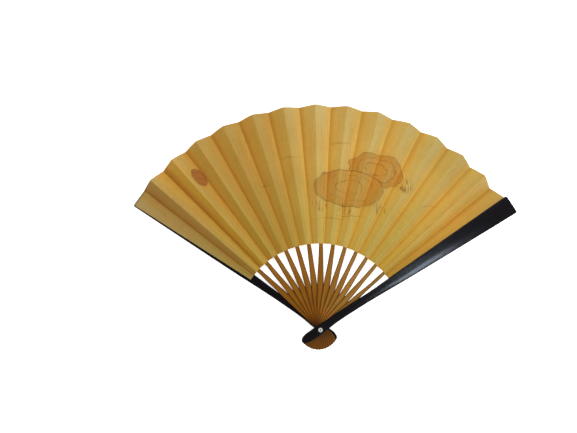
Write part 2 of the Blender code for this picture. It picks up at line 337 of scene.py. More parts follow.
def fold_point(glued_frame, n, share):
    """Fold line n at a share of the way from its inner to its outer end: point, radius, distance across."""
    radius = mix(LEAF_INNER, OUTER_ENDS.get(n, LEAF_OUTER), share)
    across = radius * math.sin(PLEAT_HALF_ANGLE) * (-1 if n % 2 == 0 else 1)
    if n == 0:
        across = TRIM_START - TRIM_SLOPE * radius
    return glued_frame @ Vector((across, math.sqrt(radius**2 - across**2), 0)), radius, across


def fold_line(frames, n):
    """Fold line n, step by step: its middle point, the half thickness there, radius and distance across."""
    k = n // 2
    side = -1 if n % 2 == 0 else 1
    other = k + side
    up = frames[k].to_3x3() @ Vector((0, 0, 1))
    along = frames[k].to_3x3() @ Vector((0, 1, 0))
    pull = SOFT_CREASE_PULL if n == SOFT_CREASE else CREASE_PULL
    line = []
    for i in range(LEAF_STEPS + 1):
        share = i / LEAF_STEPS
        point, radius, across = fold_point(frames[k], n, share)
        offset = up * PAPER / 2
        if 0 <= other < len(frames):
            to_other = (fold_point(frames[other], n + side, share)[0] - point) * side
            free_up = to_other.cross(along).normalized()
            both = (up + free_up).normalized()
            offset = both * (PAPER / 2 / both.dot(up))
            point += both * side * pull
        line.append((point, offset, radius, across))
    return line


def glued_columns(radius, left, right, reaches, ribbed):
    """Inside a glued pleat: (distance from its middle, front relief, back relief)."""
    if not ribbed:
        width = right - left
        shares = (reaches[0] / width, 0.25, 0.42, 0.58, 1 - 1.5 * reaches[1] / width, 1 - reaches[1] / width)
        return [(left + width * s, 0, 0) for s in shares]
    half = interpolate(RIB_SIDE, min(radius, BLADE_END))
    steps = ((0.75, 0, 0), (0.35, 0.3, 0.45), (0.05, 0.9, 1))
    slope = [(half + out * MM, f, b) for out, f, b in steps] + [(half * 0.5, 1, 1)]
    first = [(left + reaches[0], 0, 0), ((left + reaches[0] - slope[0][0]) / 2, 0, 0)]
    last = [((right - reaches[1] + slope[0][0]) / 2, 0, 0), (right - reaches[1], 0, 0)]
    return first + [(-x, f, b) for x, f, b in slope] + [(0, 1, 1)] + slope[::-1] + last


def glued_row(glued_frame, start, end, reaches, ribbed):
    """Across a glued pleat, from fold to fold: (middle point, half thickness, distance from its middle)."""
    start_point, start_offset, start_radius, start_x = start
    end_point, end_offset, end_radius, end_x = end
    row = [(start_point, start_offset, start_x)]
    for x, front, back in glued_columns((start_radius + end_radius) / 2, start_x, end_x, reaches, ribbed):
        radius = mix(start_radius, end_radius, (x - start_x) / (end_x - start_x))
        flat = Vector((x, math.sqrt(radius**2 - x**2), 0))
        top = glued_frame @ (flat + Vector((0, 0, PAPER / 2 + front * RIDGE)))
        bottom = glued_frame @ (flat - Vector((0, 0, PAPER / 2 + back * BACK_RIDGE)))
        row.append(((top + bottom) / 2, (top - bottom) / 2, x))
    row.append((end_point, end_offset, end_x))
    return row


def free_row(valley, peak, along, start, end, reaches, edge):
    """Across a free pleat, from its valley to its peak fold, in the same form."""
    start_point, start_offset, start_radius = start[:3]
    end_point, end_offset, end_radius = end[:3]
    normal = (peak - valley).cross(along).normalized()
    rise = (start_radius + end_radius) / 2 * (1 - math.cos(PLEAT_HALF_ANGLE))
    first, last = 1 - reaches[0] / edge, 1 - reaches[1] / edge
    row = [(start_point, start_offset, -edge)]
    for s in (-first, -0.75 * first, -0.45, -0.15, 0.15, 0.45, 0.75 * last, last):
        bow = rise * (1 - s * s)
        row.append((valley.lerp(peak, (s + 1) / 2) + along * bow, normal * PAPER / 2, s * edge))
    row.append((end_point, end_offset, edge))
    return row


def build_pleat(j, frames, lines, fan_share, paper):
    """Pleat j of the leaf; the even ones are glued to a guard or a rib, the odd ones are free."""
    left, right = lines[j], lines[j + 1]
    k, glued = j // 2, j % 2 == 0
    ribbed = glued and 0 < k < LAST_PANEL
    along = (right[-1][0] + left[-1][0] - right[0][0] - left[0][0]).normalized()
    turn = (j - LAST_PANEL) * 2 * PLEAT_HALF_ANGLE
    front, back, paint, pleat = [], [], [], []
    for i in range(LEAF_STEPS + 1):
        start, end = left[i], right[i]
        start_radius, end_radius = start[2], end[2]
        edge = (start_radius + end_radius) / 2 * math.sin(PLEAT_HALF_ANGLE)
        reaches = []
        for n in (j, j + 1):
            reaches.append(min(SOFT_CREASE_REACH if n == SOFT_CREASE else CREASE_REACH, 0.45 * edge))
        if glued:
            row = glued_row(frames[k], start, end, reaches, ribbed)
        else:
            valley = fold_point(frames[k], j, i / LEAF_STEPS)[0]
            peak = fold_point(frames[k + 1], j + 1, i / LEAF_STEPS)[0]
            row = free_row(valley, peak, along, start, end, reaches, edge)
        for point, offset, x in row:
            front.append(point + offset)
            back.append(point - offset)
            radius = mix(start_radius, end_radius, (x / edge + 1) / 2)
            flat_angle = turn + math.asin(x / radius)
            plan = flat_angle * fan_share
            paint.append((radius * math.sin(plan), radius * math.cos(plan), flat_angle))
            towards_peak = (x / edge) * (-1 if glued else 1)
            pleat.append((towards_peak, radius, x if ribbed else 1.0))

    held = 1.0 if glued else 0.0
    sides = [(1.0, held, 0.0)] * len(front) + [(0.0, held, 0.0)] * len(back)
    attributes = {"paint": paint * 2, "pleat": pleat * 2, "side": sides}
    faces = two_sided(LEAF_STEPS + 1, len(front) // (LEAF_STEPS + 1))
    name = f"leaf_{'glued' if glued else 'free'}_{k:02d}"
    piece = new_piece(name, front + back, faces, attributes, paper, 35)
    if glued:
        body = "rear_guard" if k == 0 else "front_guard" if k == LAST_PANEL else f"vane_{k:02d}_body"
        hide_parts(f"leaf_panel_{k:02d}")
    else:
        body = f"fold_{k:02d}_body"
        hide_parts(f"leaf_fold_{k:02d}")
    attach(piece, body)
    return piece


def build_leaf(angles, paper):
    """Fifteen glued pleats and the fourteen free ones between them, all meeting on common fold lines."""
    frames = glued_frames(angles)
    lines = [fold_line(frames, n) for n in range(PLEAT_COUNT + 1)]
    fan_share = (angles[-1] - angles[0]) / (2 * (PLEAT_COUNT - 1) * PLEAT_HALF_ANGLE)
    pieces = [build_pleat(j, frames, lines, fan_share, paper) for j in range(PLEAT_COUNT)]

    for j, piece in enumerate(pieces):
        if j % 2 == 1:
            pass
        elif j in (0, PLEAT_COUNT - 1):
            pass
        else:
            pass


# ---------------------------------------------------------------- sticks


def tail_distances():
    """Distances along a stick's tail, closer together towards its end."""
    turns = [math.pi / 2 * i / TAIL_STEPS for i in range(TAIL_STEPS + 1)]
    return [-TAIL + TAIL_ROUND * (1 - math.cos(turn)) for turn in turns]


def tail_share(y):
    """The share of its full width that a stick has at y: its tail is a half ellipse with a blunt end."""
    if y >= -TAIL + TAIL_ROUND:
        return 1.0
    return math.sqrt(max(1 - ((-TAIL + TAIL_ROUND - y) / TAIL_ROUND) ** 2, TAIL_BLUNTNESS))


def tip_share(y):
    """The share of its full width that a guard has at y: its tip has round corners."""
    depth = (y - GUARD_TIP + TIP_ROUND) / TIP_ROUND
    if depth <= 0:
        return 1.0
    return 1 - (1 - math.sqrt(max(1 - depth**2, 0))) * TIP_ROUND / GUARD_TIP_HALF


def between(y, start, end, run):
    """1 between the start and the end, and smoothly to 0 over a run inside each; all but y in millimetres."""
    return smooth((y - start * MM) / (run * MM)) * smooth((end * MM - y) / (run * MM))


def rib_half_width(k, y):
    """Half the width at y; ribs 9 to 13 are slimmer than the CAD's, the last one most, 1 to 6 a little."""
    half = interpolate(RIB_SIDE, y) * tail_share(y)
    slim = RIGHT_NARROWING * smooth((k - 8) / 2) + (LAST_NARROWING if k == RIB_COUNT else 0)
    half -= slim * between(y, 5, 76, 20)
    if k < 7:
        half -= LEFT_NARROWING * between(y, 28, 66, 12)
    return half


def rounded_strip(half, low, high):
    """A rib's cross section, a strip with rounded corners, as (x, z) points."""
    round_x = min(RIB_ROUND_ACROSS, half * 0.4)
    round_z = min(RIB_ROUND_UP, (high - low) * 0.4)
    section = []
    for sx, top in ((1, False), (1, True), (-1, True), (-1, False)):
        corner = ((half, 1.0), (half - round_x * 0.3, 0.3), (half - round_x, 0.0))
        for x, inward in corner if (sx > 0) == top else corner[::-1]:
            section.append((sx * x, high - round_z * inward if top else low + round_z * inward))
    return section


def build_rib(k, angle, bamboo):
    """One bamboo strip from the tail to its end inside the leaf, twisting from the shoulder to the leaf."""
    distances = tail_distances() + [y * MM for y in (-7, -3, 0, 4, 10, 18, 26, 34, 40)]
    distances += [mix(SHOULDER, TWIST_END, i / 20) for i in range(21)]
    distances += [y * MM for y in (84, 100, 120, 145, 170, 190)] + [BLADE_END]
    rings, grain, rim = [], [], []
    for y in distances:
        half = rib_half_width(k, y)
        blade = smooth((y - SHOULDER) / THINNING_RUN)
        hidden = smooth((y - HIDDEN_FROM) / HIDDEN_RUN)
        low = mix(-RIB_HALF_THICKNESS, BLADE_BACK, blade)
        high = mix(mix(RIB_HALF_THICKNESS, BLADE_FRONT, blade), HIDDEN_FRONT, hidden)
        section = rounded_strip(half, low, high)
        place = bent_frame(k, angle, smooth((y - SHOULDER) / (TWIST_END - SHOULDER)))
        rings.append([place @ Vector((x, y, z)) for x, z in section])
        grain += [(x / MM, y / MM, z / MM + RIB_GRAIN_STEP * k) for x, z in section]
        rim += [(half / MM, k, 0)] * len(section)
    points, faces = loft(rings)
    rib = new_piece(f"bamboo_rib_{k:02d}", points, faces, {"grain": grain, "rim": rim}, bamboo, 50)
    bore_out(rib)
    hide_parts(f"rib_{k:02d}", f"rib_blade_{k:02d}")
    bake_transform(rib)


def bore_out(obj):
    """Cuts the pin's hole through a stick."""
    bm = bmesh.new()
    bmesh.ops.create_cone(bm, cap_ends=True, segments=48, radius1=BORE_RADIUS, radius2=BORE_RADIUS, depth=0.1)
    mesh = bpy.data.meshes.new("bore")
    bm.to_mesh(mesh)
    bm.free()
    drill = bpy.data.objects.new("bore", mesh)
    bpy.context.scene.collection.objects.link(drill)
    cut = obj.modifiers.new("bore", "BOOLEAN")
    cut.operation, cut.solver, cut.object = "DIFFERENCE", "EXACT", drill
    done = bpy.data.meshes.new_from_object(obj.evaluated_get(bpy.context.evaluated_depsgraph_get()))
    obj.modifiers.clear()
    obj.data = done
    bpy.data.objects.remove(drill, do_unlink=True)


def guard_section(middle, half, boss, outer_sign):
    """A guard's cross section as (x, z) points, z up from its inner face to its softly crowned outer face."""
    edge = min(GUARD_EDGE, half * 0.45)
    crown = GUARD_CROWN * min(half / (4 * MM), 1)
    section = []
    for s in (-1, -0.96, -0.8, -0.6, -0.4, -0.2, 0, 0.2, 0.4, 0.6, 0.8, 0.96, 1):
        section.append((middle + s * (half - edge), GUARD_THICKNESS - crown * max(s * outer_sign, 0) ** 2))
    sides = []
    for side in (1, -1):
        top = GUARD_THICKNESS - (crown if side == outer_sign else 0)
        turn = [(edge * (1 - math.sin(a)), top - edge * (1 - math.cos(a))) for a in (0.5, 1.0, math.pi / 2)]
        turn += [(0, edge * 0.6 - boss), (edge * 0.18, edge * 0.18 - boss)]
        turn += [(edge * 0.6, -boss), (edge, -boss)]
        sides.append([(middle + side * (half - inward), z) for inward, z in turn])
    return section + sides[0] + sides[1][::-1]


def build_guard(name, node, body, angle, bottom, outer_sign, front, lacquer):
    """A guard with a crowned outer face; its inner face is flat and stands out as a boss round the pin."""
    distances = tail_distances() + [y * MM for y in (-7, -3, 0, 3, 6, 9, 12, 15, 20, 26, 33, 38)]
    distances += [GUARD_BOSS_END + s * MM for s in (-1.5, -0.5, 0.5, 1.5)]
    distances += [y * MM for y in (47, 53, 60, 67, 75, 84, 94, 105, 118, 132, 148, 163, 178, 192, 202)]
    distances += [GUARD_TIP - TIP_ROUND * (1 - math.sin(math.pi / 2 * i / 8)) for i in range(9)]
    place = stick_frame(angle, bottom)
    rings, grain = [], []
    for y in distances:
        share = tail_share(y) * tip_share(y)
        outer = outer_sign * share * interpolate(GUARD_OUTER_SIDE, y)
        inner = -outer_sign * share * interpolate(FRONT_INNER_SIDE if front else REAR_INNER_SIDE, y)
        left, right = min(outer, inner), max(outer, inner)
        boss = GUARD_BOSS * (1 - smooth((y - GUARD_BOSS_END + BOSS_SLOPE / 2) / BOSS_SLOPE))
        section = guard_section((left + right) / 2, (right - left) / 2, boss, outer_sign)
        if not front:
            section = [(x, GUARD_THICKNESS - z) for x, z in section]
        rings.append([place @ Vector((x, y, z)) for x, z in section])
        grain += [(x / MM, y / MM, z / MM + (FRONT_GUARD_GRAIN if front else 0)) for x, z in section]
    points, faces = loft(rings)
    guard = new_piece(name, points, faces, {"grain": grain}, lacquer, 50)
    bore_out(guard)
    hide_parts(node)
    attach(guard, body)


def turned(name, profile, node, body, material):
    """A turned piece; its profile's (radius, z) points in millimetres run round to the first again."""
    count, points, faces = 96, [], []
    for i in range(count):
        a = math.tau * i / count
        points += [(r * MM * math.cos(a), r * MM * math.sin(a), z * MM) for r, z in profile]
    n = len(profile)
    for i in range(count):
        after = (i + 1) % count
        for j in range(n):
            k = (j + 1) % n
            faces.append((i * n + j, i * n + k, after * n + k, after * n + j))
    piece = new_piece(name, points, faces, {}, material, 40)
    bm = bmesh.new()
    bm.from_mesh(piece.data)
    bmesh.ops.remove_doubles(bm, verts=bm.verts, dist=MM / 1000)
    bmesh.ops.dissolve_degenerate(bm, edges=bm.edges, dist=MM / 1000)
    bmesh.ops.recalc_face_normals(bm, faces=bm.faces)
    bm.to_mesh(piece.data)
    bm.free()
    layer = piece.data.attributes.new("grain", "FLOAT_VECTOR", "POINT")
    layer.data.foreach_set("vector", [x / MM for v in piece.data.vertices for x in v.co])
    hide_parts(node)
    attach(piece, body)


def build_pin(horn, pearl_shell):
    """The pin with its rear head and slimmer front end, and the domed washer over that end."""
    top = FRONT_GUARD_TOP / MM
    pin = [(0, 0.12), (0.5, 0.03), (1.2, 0), (1.9, 0), (2.15, 0.06), (2.27, 0.18), (2.3, 0.35), (2.27, 0.6)]
    pin += [(2.1, 0.76), (1.9, 0.8), (1.2, 0.8), (1.2, top), (0.6, top), (0.6, top + 1.3), (0.5, top + 1.4)]
    pin += [(0.3, top + 1.44), (0, top + 1.45)]
    turned("horn_pin", pin, "pivot_pin", "rear_guard", horn)
    low = top + 0.2
    cap = [(0.68, low), (1.80, low), (1.97, low + 0.12), (2.0, low + 0.4)]
    for i in range(1, 9):
        turn = math.pi / 2 * i / 8
        cap.append((2.0 - 0.85 * (1 - math.cos(turn)), low + 0.4 + 0.8 * math.sin(turn)))
    cap += [(0.95, low + 1.2), (0.8, low + 1.13), (0.7, low + 1.0)]
    turned("pearl_cap", cap, "pin_cap", "rear_guard", pearl_shell)


# ---------------------------------------------------------------- materials


class Nodes:
    """A short way to write a material's nodes."""

    def __init__(self, name):
        self.material = bpy.data.materials.new(name)
        self.material.use_nodes = True
        self.tree = self.material.node_tree
        self.shader = self.tree.nodes["Principled BSDF"]

    def put(self, socket, value):
        if isinstance(value, bpy.types.NodeSocket):
            self.tree.links.new(value, socket)
        else:
            socket.default_value = value

    def add(self, kind, **settings):
        node = self.tree.nodes.new(kind)
        for key, value in settings.items():
            setattr(node, key, value)
        return node

    def attribute(self, name):
        return self.add("ShaderNodeAttribute", attribute_name=name).outputs["Vector"]

    def split(self, vector):
        node = self.add("ShaderNodeSeparateXYZ")
        self.put(node.inputs[0], vector)
        return node.outputs

    def join(self, x, y, z=0.0):
        node = self.add("ShaderNodeCombineXYZ")
        for socket, value in zip(node.inputs, (x, y, z)):
            self.put(socket, value)
        return node.outputs[0]

    def math(self, operation, *values):
        node = self.add("ShaderNodeMath", operation=operation)
        for socket, value in zip(node.inputs, values):
            self.put(socket, value)
        return node.outputs[0]

    def times(self, first, second):
        return self.math("MULTIPLY", first, second)

    def greater(self, first, second):
        return self.math("MAXIMUM", first, second)

    def away(self, value, centre):
        """How far the value is from the centre."""
        return self.math("ABSOLUTE", self.math("SUBTRACT", value, centre))

    def ramp(self, value, low, high, start=0.0, end=1.0):
        """The value taken smoothly from low..high to start..end."""
        node = self.add("ShaderNodeMapRange", interpolation_type="SMOOTHSTEP")
        for socket, number in zip(node.inputs, (value, low, high, start, end)):
            self.put(socket, number)
        return node.outputs[0]

    def noise(self, vector, scale, detail=2.0, roughness=0.5):
        node = self.add("ShaderNodeTexNoise")
        self.put(node.inputs["Vector"], vector)
        for key, value in (("Scale", scale), ("Detail", detail), ("Roughness", roughness)):
            node.inputs[key].default_value = value
        return node.outputs[0]

    def grain(self, x, y, across, along, z=0.0, detail=2.0, roughness=0.5):
        """Noise with its own scale across and along the grain."""
        return self.noise(self.join(self.times(x, across), self.times(y, along), z), 1.0, detail, roughness)

    def colour(self, share, first, second, mode="MIX"):
        node = self.add("ShaderNodeMix", data_type="RGBA", blend_type=mode)
        self.put(node.inputs["Factor"], share)
        for key, value in ((6, first), (7, second)):
            self.put(node.inputs[key], value if isinstance(value, bpy.types.NodeSocket) else (*value, 1))
        return node.outputs[2]

    def tinted(self, colour, tints):
        """The colour multiplied by each tint's tone, as far as the tint's share goes."""
        for share, tone in tints:
            colour = self.colour(share, colour, tone, "MULTIPLY")
        return colour

    def bump(self, height, distance, strength=1.0, below=None):
        node = self.add("ShaderNodeBump")
        node.inputs["Strength"].default_value = strength
        node.inputs["Distance"].default_value = distance
        self.put(node.inputs["Height"], height)
        if below is not None:
            self.put(node.inputs["Normal"], below)
        return node.outputs[0]

    def wobbled(self, point, scale, reach):
        """The point moved about by noise, by up to half the reach each way."""
        wobble = self.add("ShaderNodeTexNoise")
        self.put(wobble.inputs["Vector"], point)
        wobble.inputs["Scale"].default_value = scale
        wobble.inputs["Detail"].default_value = 3.0
        shift = self.add("ShaderNodeVectorMath", operation="MULTIPLY_ADD")
        self.put(shift.inputs[0], wobble.outputs[1])
        shift.inputs[1].default_value = (reach, reach, 0)
        self.put(shift.inputs[2], point)
        centred = self.add("ShaderNodeVectorMath", operation="SUBTRACT")
        self.put(centred.inputs[0], shift.outputs[0])
        centred.inputs[1].default_value = (reach / 2, reach / 2, 0)
        return centred.outputs[0]

    def mound(self, point, centre, half, lean):
        """1 at the middle of a leaning ellipse, 0 on its outline, below 0 outside; lengths in metres."""
        node = self.add("ShaderNodeMapping", vector_type="TEXTURE")
        self.put(node.inputs["Vector"], point)
        node.inputs["Location"].default_value = (*centre, 0)
        node.inputs["Rotation"].default_value = (0, 0, lean)
        node.inputs["Scale"].default_value = (*half, 1)
        length = self.add("ShaderNodeVectorMath", operation="LENGTH")
        self.put(length.inputs[0], node.outputs[0])
        return self.math("SUBTRACT", 1.0, length.outputs["Value"])


def gold_wash(m, plan, flat_angle, radius, fibres, fine, clouds):
    """The paper's gold before its pleats are told apart, with painted shade at the left, fibres and clouds.
    """
    inner_gold, outer_gold = (0.405, 0.292, 0.060), (0.450, 0.305, 0.088)
    warm = m.grain(flat_angle, radius, 20.0, 22.0, detail=3.0, roughness=0.6)
    specks = m.noise(plan, 900.0, 2.0, 0.7)
    gold = m.colour(m.ramp(radius, LEAF_INNER, LEAF_OUTER), inner_gold, outer_gold)
    # Painted shade: the left half darker, and the first pleats at the left end darker and duller still.
    left_half_shade = m.ramp(flat_angle, 0.05, -0.45)
    left_end_shade = m.ramp(flat_angle, -1.02, -1.10)
    right_end = m.ramp(flat_angle, 0.65, 1.05)
    return m.tinted(gold, (
        (left_half_shade, (0.86, 0.76, 0.44)),
        (left_end_shade, (0.80, 0.86, 1.45)),
        (right_end, (1.04, 0.97, 0.80)),
        (m.ramp(clouds, 0.35, 0.70, 0.0, 0.6), (0.93, 0.90, 0.78)),
        (m.ramp(fibres, 0.40, 0.64, 0.0, 0.9), (1.13, 1.17, 1.32)),
        (m.ramp(fine, 0.48, 0.66), (0.84, 0.80, 0.70)),
        (m.ramp(warm, 0.46, 0.64, 0.0, 0.9), (1.03, 0.94, 0.80)),
        (m.ramp(specks, 0.60, 0.74, 0.0, 0.5), (1.18, 1.22, 1.45)),
    ))


def pleat_light_and_shade(m, flat_angle, radius, peak, glued):
    """Tints that tell the pleats apart, mostly painted light and shade, deepest in the valleys and at the
    rim.
    """
    free = m.math("SUBTRACT", 1.0, glued)
    first_glued = m.times(glued, m.ramp(flat_angle, -0.84, -0.90))
    first_free = m.times(free, m.ramp(flat_angle, -0.92, -0.96))
    left_free = m.times(free, m.ramp(flat_angle, -0.78, -0.84))
    last_glued = m.times(glued, m.ramp(flat_angle, 0.85, 0.93))
    last_free = m.times(free, m.ramp(flat_angle, 0.94, 0.98))
    middle_left = m.ramp(m.away(flat_angle, -0.45), 0.30, 0.20)
    outer = m.ramp(radius, 155.0 * MM, 205.0 * MM)
    rim_left = m.times(m.ramp(radius, 185.0 * MM, 204.0 * MM), m.ramp(flat_angle, 0.3, -0.3))
    # Painted shade in and next to the valleys, lit and shaded tints for glued, free and end pleats, dark rim
    # band.
    return (
        (m.ramp(peak, 0.4, -1.0), (1.12, 0.97, 0.60)),
        (glued, (0.94, 0.93, 0.90)),
        (free, (1.10, 0.97, 0.66)),
        (m.times(free, m.ramp(flat_angle, 0.45, 0.75)), (0.85, 0.93, 1.0)),
        (m.times(free, m.ramp(flat_angle, -0.10, -0.30)), (0.98, 1.0, 0.80)),
        (last_glued, (1.14, 1.13, 1.14)),
        (last_free, (0.92, 0.84, 0.72)),
        (left_free, (1.12, 1.11, 1.0)),
        (first_free, (0.82, 0.73, 0.50)),
        (first_glued, (1.05, 1.06, 1.12)),
        (m.times(glued, middle_left), (0.91, 0.90, 0.84)),
        (m.times(m.ramp(peak, -0.25, -0.95), free), (0.82, 0.76, 0.60)),
        (m.ramp(peak, -0.93, -1.0, 0.0, 0.4), (0.80, 0.70, 0.50)),
        (m.times(outer, m.ramp(flat_angle, -0.9, 0.9)), (0.82, 0.91, 1.0)),
        (rim_left, (1.0, 1.02, 1.16)),
        (m.times(first_glued, outer), (1.09, 1.11, 1.06)),
        (m.ramp(radius, 205.4 * MM, 205.9 * MM, 0.0, 0.8), (0.62, 0.66, 0.90)),
    )


def painting(m, plan, x, y, clouds):
    """The wash painting's tints: two rounded hills, their ink lines, grass, ground lines and a low sun."""
    drawn = m.wobbled(plan, 85.0, 0.009)
    brush = m.noise(m.join(x, m.times(y, 5.0)), 110.0, 4.0, 0.65)
    near_hill, far_hill = m.mound(drawn, *NEAR_HILL), m.mound(drawn, *FAR_HILL)

    hills = m.greater(near_hill, far_hill)
    wash = m.times(m.ramp(hills, 0.0, 0.04), m.ramp(brush, 0.30, 0.62, 1.0, 0.85))
    pool = m.times(m.ramp(hills, 0.50, 0.0), m.ramp(clouds, 0.40, 0.60))
    wash = m.times(wash, m.ramp(pool, 0.0, 0.8, 0.75, 1.0))

    behind = m.ramp(near_hill, 0.02, -0.02)
    far_outline = m.times(m.ramp(m.away(far_hill, 0.0), 0.042, 0.012), behind)
    ink = m.greater(m.ramp(m.away(near_hill, 0.0), 0.045, 0.012), far_outline)
    for height in HILL_CONTOURS:
        far_line = m.times(m.ramp(m.away(far_hill, height), 0.042, 0.012), behind)
        far_line = m.times(far_line, m.ramp(brush, 0.60, 0.48, 0.1, 1.0))
        near_line = m.ramp(m.away(near_hill, height), 0.024, 0.008)
        near_line = m.times(near_line, m.ramp(brush, 0.44, 0.56, 0.0, 0.9))
        ink = m.greater(ink, m.greater(far_line, near_line))
    ink = m.times(ink, m.ramp(clouds, 0.35, 0.60, 1.0, 0.5))

    patches = [m.mound(drawn, tuft, TUFT_HALF, TUFT_LEAN) for tuft in TUFTS]
    ground = m.greater(m.greater(*patches[:2]), m.greater(*patches[2:]))
    stems = m.grain(x, y, 620.0, 90.0, detail=1.0)
    grass = m.times(m.ramp(stems, 0.52, 0.60), m.ramp(ground, 0.0, 0.35))

    lines = 0.0
    for place, half_length in GROUND_LINES:
        line = m.ramp(m.mound(drawn, place, (half_length, LINE_HALF_WIDTH), LINE_LEAN), 0.0, 0.6)
        lines = m.greater(lines, line)
    sun = m.times(m.ramp(m.mound(plan, *SUN), 0.0, 0.10), m.ramp(brush, 0.3, 0.7, 1.0, 0.8))
    return (
        (wash, (0.81, 0.61, 0.32)),
        (ink, (0.42, 0.31, 0.22)),
        (grass, (0.62, 0.50, 0.40)),
        (lines, (0.72, 0.62, 0.50)),
        (sun, (0.62, 0.34, 0.12)),
    )


def gold_paper():
    """Gold paper with fibres along the ribs, folds, painted light and shade, and a painting in front."""
    m = Nodes("gold_paper")
    paint, pleat = m.attribute("paint"), m.attribute("pleat")
    x, y, flat_angle = m.split(paint)
    peak, radius, across = m.split(pleat)
    shown, glued = m.split(m.attribute("side"))[:2]
    plan = m.join(x, y)
    fibres = m.grain(flat_angle, radius, 420.0, 30.0, detail=4.0, roughness=0.6)
    fine = m.grain(flat_angle, radius, 1500.0, 160.0)
    clouds = m.noise(plan, 28.0, 3.0, 0.55)
    gold = gold_wash(m, plan, flat_angle, radius, fibres, fine, clouds)
    # Painted light and shade on the pleats.
    gold = m.tinted(gold, pleat_light_and_shade(m, flat_angle, radius, peak, glued))

    # Painted shade: a faint dark line along each rib's edges, where the paper rises over the rib.
    rib_half = m.ramp(radius, LEAF_INNER, BLADE_END, 2.25 * MM, 1.25 * MM)
    to_rib_edge = m.away(m.math("ABSOLUTE", across), rib_half)
    rib_edge_shade = m.times(m.ramp(to_rib_edge, 0.50 * MM, 0.05 * MM), m.ramp(radius, 0.194, 0.184))
    gold = m.tinted(gold, [(m.times(rib_edge_shade, 0.45), (0.70, 0.62, 0.50))])
    gold = m.tinted(gold, [(m.times(share, shown), tone) for share, tone in painting(m, plan, x, y, clouds)])
    m.put(m.shader.inputs["Base Color"], gold)

    m.put(m.shader.inputs["Roughness"], m.ramp(fibres, 0.3, 0.7, 0.66, 0.52))
    m.shader.inputs["Specular IOR Level"].default_value = 0.25
    m.shader.inputs["Sheen Weight"].default_value = 0.04
    relief = m.bump(m.math("ADD", m.times(fibres, 0.6), m.times(fine, 0.4)), 0.00008, 0.8)
    relief = m.bump(clouds, 0.0016, 0.35, relief)
    relief = m.bump(m.ramp(to_rib_edge, 0.5 * MM, 0.0), 0.00006, 0.6, relief)
    m.put(m.shader.inputs["Normal"], relief)
    return m.material


def stained_bamboo():
    """Brown bamboo with a long grain, painted edge shade and painted light at the right; lengths in
    millimetres.
    """
    m = Nodes("stained_bamboo")
    x, y, z = m.split(m.attribute("grain"))
    half, number = m.split(m.attribute("rim"))[:2]
    long_grain = m.grain(x, y, 3.2, 0.05, z, 4.0, 0.65)
    pores = m.grain(x, y, 14.0, 0.35, z)
    patches = m.grain(x, y, 0.2, 0.03, z)
    brown, dark_brown, light_brown = (0.200, 0.074, 0.0036), (0.150, 0.050, 0.0022), (0.222, 0.086, 0.0052)
    pore_brown, edge_shade_brown = (0.10, 0.038, 0.006), (0.032, 0.009, 0.002)
    wood = m.colour(m.ramp(long_grain, 0.35, 0.65), brown, dark_brown)
    wood = m.colour(m.ramp(patches, 0.35, 0.65, 0.0, 0.6), wood, light_brown)
    # Painted light: the ribs at the right paler, most of all along their blades.
    right_ribs_light = m.times(m.ramp(number, 6.0, 12.5), m.ramp(y, -2.0, 10.0, 0.15, 1.0))
    wood = m.tinted(wood, [(right_ribs_light, (1.28, 1.62, 4.3))])
    wood = m.colour(m.ramp(pores, 0.62, 0.72, 0.0, 0.5), wood, pore_brown)
    # Painted shade: each rib darker towards its edges, where the ribs meet.
    edge_shade = m.ramp(m.math("SUBTRACT", half, m.math("ABSOLUTE", x)), 0.85, 0.15)
    wood = m.colour(m.times(edge_shade, 0.92), wood, edge_shade_brown)
    near_pin, on_tail = m.ramp(y, 26.0, 12.0), m.ramp(y, 2.0, -4.0)
    wood = m.tinted(wood, ((near_pin, (1.28, 1.12, 1.05)), (on_tail, (0.64, 0.66, 0.30))))
    m.put(m.shader.inputs["Base Color"], wood)
    m.put(m.shader.inputs["Roughness"], m.ramp(long_grain, 0.3, 0.7, 0.42, 0.58))
    m.shader.inputs["Specular IOR Level"].default_value = 0.07
    relief = m.bump(pores, 0.00006, 0.5)
    relief = m.bump(long_grain, 0.00012, 0.5, relief)
    m.put(m.shader.inputs["Normal"], relief)
    return m.material


def black_lacquer():
    """Black lacquer with a faint hairline grain and a little dust; lengths in millimetres."""
    m = Nodes("black_lacquer")
    grain = m.attribute("grain")
    x, y, z = m.split(grain)
    clouds = m.grain(x, y, 0.12, 0.03, z, 3.0)
    hair = m.grain(x, y, 7.0, 0.10, z, 3.0, 0.7)
    dust = m.noise(grain, 5.0, 2.0, 0.8)
    black, soft_black = (0.0022, 0.0016, 0.0024), (0.0040, 0.0030, 0.0040)
    dust_grey, hair_grey = (0.06, 0.06, 0.065), (0.020, 0.017, 0.022)
    lacquer = m.colour(m.ramp(clouds, 0.35, 0.65), black, soft_black)
    lacquer = m.colour(m.ramp(dust, 0.70, 0.78, 0.0, 0.35), lacquer, dust_grey)
    lacquer = m.colour(m.ramp(hair, 0.60, 0.72, 0.0, 0.30), lacquer, hair_grey)
    m.put(m.shader.inputs["Base Color"], lacquer)
    m.put(m.shader.inputs["Roughness"], m.ramp(hair, 0.30, 0.72, 0.17, 0.25))
    m.shader.inputs["Specular IOR Level"].default_value = 0.14
    m.shader.inputs["Coat Weight"].default_value = 0.06
    m.shader.inputs["Coat Roughness"].default_value = 0.15
    relief = m.bump(hair, 0.00004, 0.35)
    relief = m.bump(clouds, 0.0004, 0.25, relief)
    m.put(m.shader.inputs["Normal"], relief)
    return m.material


